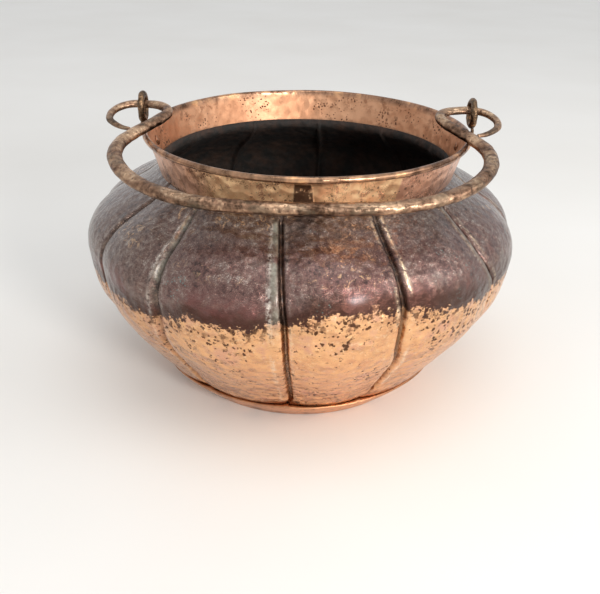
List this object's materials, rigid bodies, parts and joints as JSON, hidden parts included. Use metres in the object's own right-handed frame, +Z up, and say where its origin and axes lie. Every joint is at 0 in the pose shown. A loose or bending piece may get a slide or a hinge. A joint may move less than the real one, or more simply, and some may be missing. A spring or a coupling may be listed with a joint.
{
  "type": "lobed copper pot with bail handle",
  "caption": "Squat lobed copper cauldron with a flat base, a flared wired collar, riveted eyes and a forged bail that swings over the open mouth.",
  "frame": {"origin": "centre of the flat underside of the bottom pan, on the surface the pot stands on", "axes": "+Z up out of the mouth, -Y towards the side the bail is folded over, +X to the right eye"},
  "size_m": [0.4027, 0.4033, 0.2726],
  "materials": {
    "bowl_copper": "hammered copper, dark brown and violet patina above, bright and spotted below",
    "bottom_copper": "worn copper, orange brown",
    "collar_copper": "polished hammered copper with dark spots",
    "wire_iron": "plain drawn wire",
    "eye_bronze": "forged, dark with rubbed edges",
    "rivet_copper": "hand-peened copper",
    "bail_bronze": "forged bar, brown with rubbed bright patches"
  },
  "bodies": {
    "pot": {"bottom_pan": "bottom_copper", "bowl": "bowl_copper", "collar": "collar_copper", "rim_wire": "wire_iron", "left_eye": "eye_bronze", "right_eye": "eye_bronze", "left_rivet": "rivet_copper", "right_rivet": "rivet_copper"},
    "bail": {"bail": "bail_bronze"}
  },
  "joints": [
    {"name": "bail_swing", "type": "hinge", "parent": "pot", "child": "bail", "pos_m": [0.0005, 0, 0.261], "axis": [-1, 0, 0], "range_deg": [0, 206]}
  ]
}
